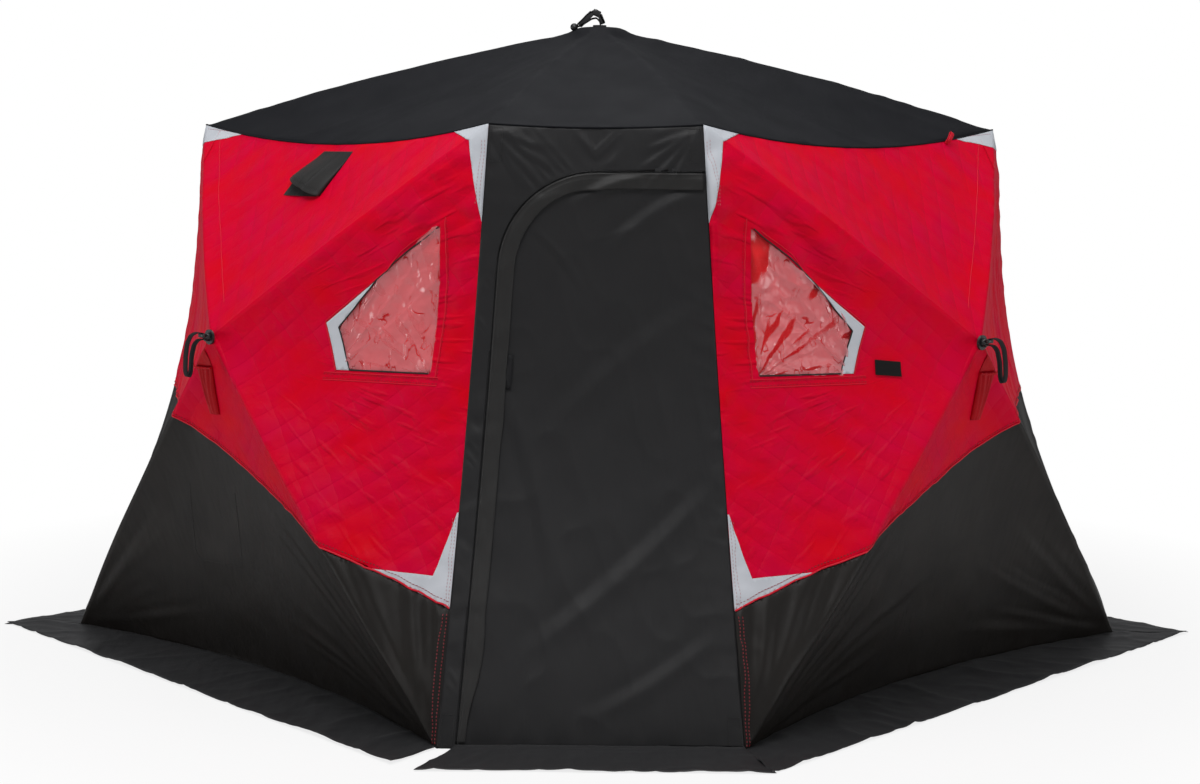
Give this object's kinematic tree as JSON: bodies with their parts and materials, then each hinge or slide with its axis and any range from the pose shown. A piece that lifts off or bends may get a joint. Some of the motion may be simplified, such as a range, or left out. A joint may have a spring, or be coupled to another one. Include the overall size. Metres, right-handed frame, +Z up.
{
  "type": "hub-style pop-up fabric ice fishing hut",
  "caption": "Six-sided pop-up fabric ice fishing hut: red and black walls pushed out by hubs and rods, a zipped door, windows and a ground skirt.",
  "frame": {"origin": "on the ground under the middle of the roof", "axes": "+X to the right seen from the door, +Y from the door to the back, +Z up"},
  "size_m": [3.9972, 3.12, 2.0666],
  "materials": {
    "red_cloth": "coated woven polyester, quilted, satin",
    "black_wall_cloth": "coated woven polyester, dull",
    "roof_cloth": "coated woven polyester, faint satin",
    "trim_cloth": "coated woven polyester, dull",
    "skirt_cloth": "coated tarpaulin, dull",
    "cover_cloth": "brushed woven polyester, dull",
    "reflective_cloth": "reflective coated cloth, satin",
    "hook_tape": "hook and loop tape",
    "webbing": "woven polypropylene webbing",
    "clear_sheet": "clear flexible vinyl, glossy, wrinkled",
    "fibreglass": "smooth pultruded rod",
    "hub_plastic": "moulded, fine texture"
  },
  "bodies": {
    "root": {"wall_front_left": "red_cloth", "wall_front_right": "red_cloth", "wall_back_left": "red_cloth", "wall_back_right": "red_cloth", "lower_wall_front_left": "black_wall_cloth", "lower_wall_front_right": "black_wall_cloth", "lower_wall_back_left": "black_wall_cloth", "lower_wall_back_right": "black_wall_cloth", "roof_front": "roof_cloth", "roof_back": "roof_cloth", "roof_front_left": "roof_cloth", "roof_front_right": "roof_cloth", "roof_back_left": "roof_cloth", "roof_back_right": "roof_cloth", "roof_crown": "roof_cloth", "door_surround": "black_wall_cloth", "back_panel": "black_wall_cloth", "back_storm_flap": "trim_cloth", "window_sheets": "clear_sheet", "window_covers": "cover_cloth", "window_borders": "reflective_cloth", "reflective_patches": "reflective_cloth", "rods_front_left": "fibreglass", "rods_front_right": "fibreglass", "rods_back_left": "fibreglass", "rods_back_right": "fibreglass", "roof_rods": "fibreglass", "wall_hubs": "hub_plastic", "roof_hub": "hub_plastic", "eave_cups": "hub_plastic", "ground_cups": "hub_plastic", "skirt_front_left": "skirt_cloth", "skirt_front_right": "skirt_cloth", "skirt_back_left": "skirt_cloth", "skirt_back_right": "skirt_cloth", "skirt_back": "skirt_cloth", "pull_loops": "webbing", "roof_loop": "webbing", "rope_pouches": "red_cloth", "vent_hoods": "trim_cloth", "trim_tabs": "hook_tape"},
    "door": {"front_door": "black_wall_cloth", "door_storm_flap": "trim_cloth", "door_pull_tab": "hook_tape", "door_skirt": "skirt_cloth"}
  },
  "joints": [
    {"name": "door_hinge", "type": "hinge", "parent": "root", "child": "door", "pos_m": [0.417, -1.362, 0], "axis": [-0.0691, 0.206, 0.9761], "range_deg": [0, 100]}
  ]
}
